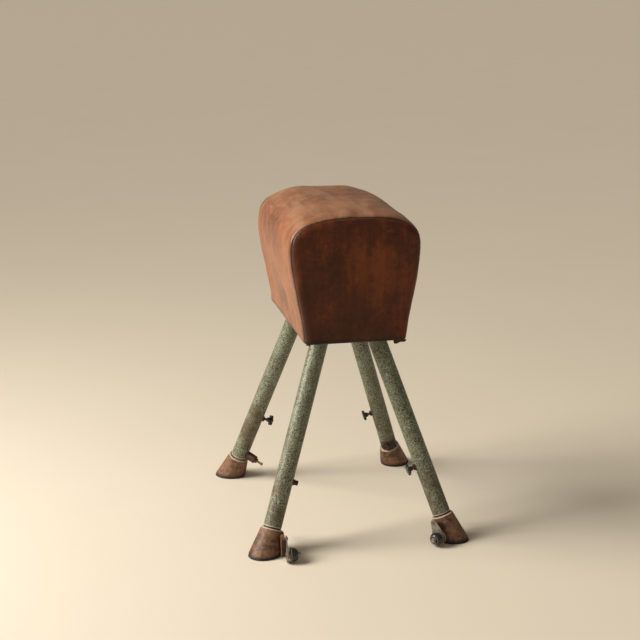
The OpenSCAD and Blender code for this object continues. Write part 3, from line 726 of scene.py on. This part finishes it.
COVER_COLORS = dict(light=(0.33, 0.132, 0.060), middle=(0.250, 0.090, 0.039), dark=(0.145, 0.048, 0.021),
                    wear_and_sheen_color=(0.37, 0.205, 0.128), shine=0.36)
# End panel leather: a much darker copy of the cover's, partly darker leather and partly painted shade for the end
# faces turned from the light
END_DARK_AND_SHADED_COLORS = dict(light=(0.185, 0.045, 0.011), middle=(0.080, 0.018, 0.005), dark=(0.034, 0.009, 0.003),
                  wear_and_sheen_color=(0.28, 0.13, 0.07), shine=0.2)

MATERIALS = {
    "leather": leather_material("cover_leather", dark_share=0.15, top_wear_and_sheen=0.65, **COVER_COLORS),
    "end_leather": leather_material("end_leather", dark_share=0.6, top_wear_and_sheen=0.15, **END_DARK_AND_SHADED_COLORS),
    "welt": moulded("welt_leather", (0.010, 0.005, 0.003), (0.035, 0.014, 0.008), (0.6, 0.8)),
    "hammered_paint": paint_material(),
    "foot_iron": foot_material(),
    "rusty_iron": worn_metal("rusty_iron", (0.085, 0.032, 0.018), (0.032, 0.012, 0.008),
                             0.5, 90, (0.5, 0.7), 0.3),
    "dark_steel": worn_metal("dark_steel", (0.12, 0.10, 0.08), (0.04, 0.025, 0.015),
                             0.5, 90, (0.4, 0.6), 0.6),
    "brass": worn_metal("aged_brass", (0.30, 0.18, 0.075), (0.10, 0.055, 0.025),
                        0.6, 120, (0.35, 0.55), 0.8),
    "bare_steel": worn_metal("drawn_steel", (0.52, 0.51, 0.48), (0.26, 0.22, 0.17), 0.15, 40),
    "worn_steel": worn_metal("worn_steel", (0.30, 0.27, 0.23), (0.11, 0.075, 0.050),
                             0.35, 110, (0.4, 0.6), 0.7),
    "zinc_steel": worn_metal("zinc_plate", (0.50, 0.50, 0.47), (0.24, 0.21, 0.17), 0.2, 100),
    "tack": worn_metal("aged_tack", (0.26, 0.15, 0.07), (0.07, 0.035, 0.02), 0.5, 200),
    "sole_rubber": moulded("sole_rubber", (0.012, 0.011, 0.010), (0.05, 0.042, 0.034), (0.7, 0.9)),
    "knob_plastic": moulded("knob_plastic", (0.016, 0.022, 0.019), (0.085, 0.080, 0.062), (0.22, 0.42)),
    "wheel_plastic": moulded("wheel_plastic", (0.010, 0.010, 0.010), (0.05, 0.048, 0.044), (0.16, 0.34)),
    "wood": wood_material(),
    "padding": felt_material(),
}


def paint(piece, name):
    piece.data.materials.clear()
    piece.data.materials.append(MATERIALS[name])


def paint_node(node, name):
    piece = NODES[node]
    if not piece.material_slots:
        piece.data.materials.append(MATERIALS[name])
    for place in piece.material_slots:
        place.material = MATERIALS[name]


# ---------------------------------------------------------------------------
# Floor, light and camera
# ---------------------------------------------------------------------------


def make_floor():
    mesh = bpy.data.meshes.new("floor")
    reach = 80  # far enough that its edge can't be told from the horizon
    mesh.from_pydata([(-reach, -reach, 0), (reach, -reach, 0), (reach, reach, 0), (-reach, reach, 0)],
                     [], [(0, 1, 2, 3)])
    floor = bpy.data.objects.new("floor", mesh)
    bpy.context.scene.collection.objects.link(floor)
    s = Shader("pale_floor")
    cloud = s.noise(2, 3, 0.5)
    color = s.mix(cloud, (0.72, 0.66, 0.56), (0.75, 0.69, 0.59))
    floor.data.materials.append(s.finish(color, 0.6))


def make_light(name, place, target, size, watts, color):
    data = bpy.data.lights.new(name, "AREA")
    data.shape = "RECTANGLE"
    data.size, data.size_y = size
    data.energy = watts
    data.color = color
    light = bpy.data.objects.new(name, data)
    light.location = place
    light.rotation_euler = (Vector(target) - Vector(place)).to_track_quat("-Z", "Y").to_euler()
    bpy.context.scene.collection.objects.link(light)


def make_lights():
    make_light("window", (-2.9, -0.15, 1.9), (0, 0, 0.62), (1.3, 1.4), 100, (1.0, 0.95, 0.87))
    make_light("fill", (0.6, -3.8, 2.4), (0, 0, 0.5), (2.5, 2.5), 7, (1.0, 0.94, 0.86))
    data = bpy.data.lights.new("daylight", "SUN")
    data.energy = 2.3
    data.angle = math.radians(35)
    data.color = (1.0, 0.92, 0.80)
    sun = bpy.data.objects.new("daylight", data)
    sun.rotation_euler = Vector((2.9, -0.5, -2.3)).to_track_quat("-Z", "Y").to_euler()
    bpy.context.scene.collection.objects.link(sun)
    world = bpy.data.worlds.new("studio")
    world.use_nodes = True
    world.node_tree.nodes["Background"].inputs["Color"].default_value = (0.80, 0.70, 0.56, 1)
    world.node_tree.nodes["Background"].inputs["Strength"].default_value = 0.27
    bpy.context.scene.world = world
    bpy.context.scene.view_settings.view_transform = "Standard"


CAMERA_PLACE = (-0.86656, -3.87570 + CENTRE_Y, 1.59961)
CAMERA_PITCH = 14.633
CAMERA_YAW = 11.967
CAMERA_LENS = 80.87


def make_camera():
    data = bpy.data.cameras.new("camera")
    data.lens = CAMERA_LENS
    data.sensor_width = 36
    camera = bpy.data.objects.new("camera", data)
    camera.location = CAMERA_PLACE
    camera.rotation_euler = (math.radians(90 - CAMERA_PITCH), 0, math.radians(-CAMERA_YAW))
    bpy.context.scene.collection.objects.link(camera)
    bpy.context.scene.camera = camera


# ---------------------------------------------------------------------------
# Everything together
# ---------------------------------------------------------------------------

make_camera()
make_lights()
make_floor()

paint(make_cover(), "leather")
paint(make_end(-1, "end_panel_front", "leather_end_front"), "end_leather")
paint(make_end(1, "end_panel_back", "leather_end_back"), "end_leather")
paint(make_welts(), "welt")
paint(make_hem_flap(-1, "hem_flap_front"), "end_leather")
paint(make_hem_flap(1, "hem_flap_back"), "end_leather")
paint(make_corner_tab(1, -1, "corner_tab_fr", 0.011, 0.036), "end_leather")
paint(make_corner_tab(-1, -1, "corner_tab_fl", 0.004, 0.012), "end_leather")
paint(make_corner_tab(1, 1, "corner_tab_br", 0.004, 0.013), "end_leather")
paint(make_corner_tab(-1, 1, "corner_tab_bl", 0.004, 0.012), "end_leather")
for leg in LEGS:
    paint(make_flange_weld(leg), "hammered_paint")
    paint(make_boss_weld(leg), "rusty_iron")
for leg in ("fl", "fr"):
    paint(make_roller_ring(leg), "worn_steel")

for entry in RECORD["subparts"]:
    if not NODES[entry["node"]].hide_render:
        paint_node(entry["node"], entry["material_slot"])
for leg in LEGS:
    paint_node(f"clamp_screw_{leg}", "dark_steel")
paint_node("clamp_bosses", "rusty_iron")
# Dark steel on the short back right latch pin: a dark part standing in for painted shade in its recessed hole
paint_node("latch_pin_br", "dark_steel")
paint_node("clamp_knob_fl", "rusty_iron")
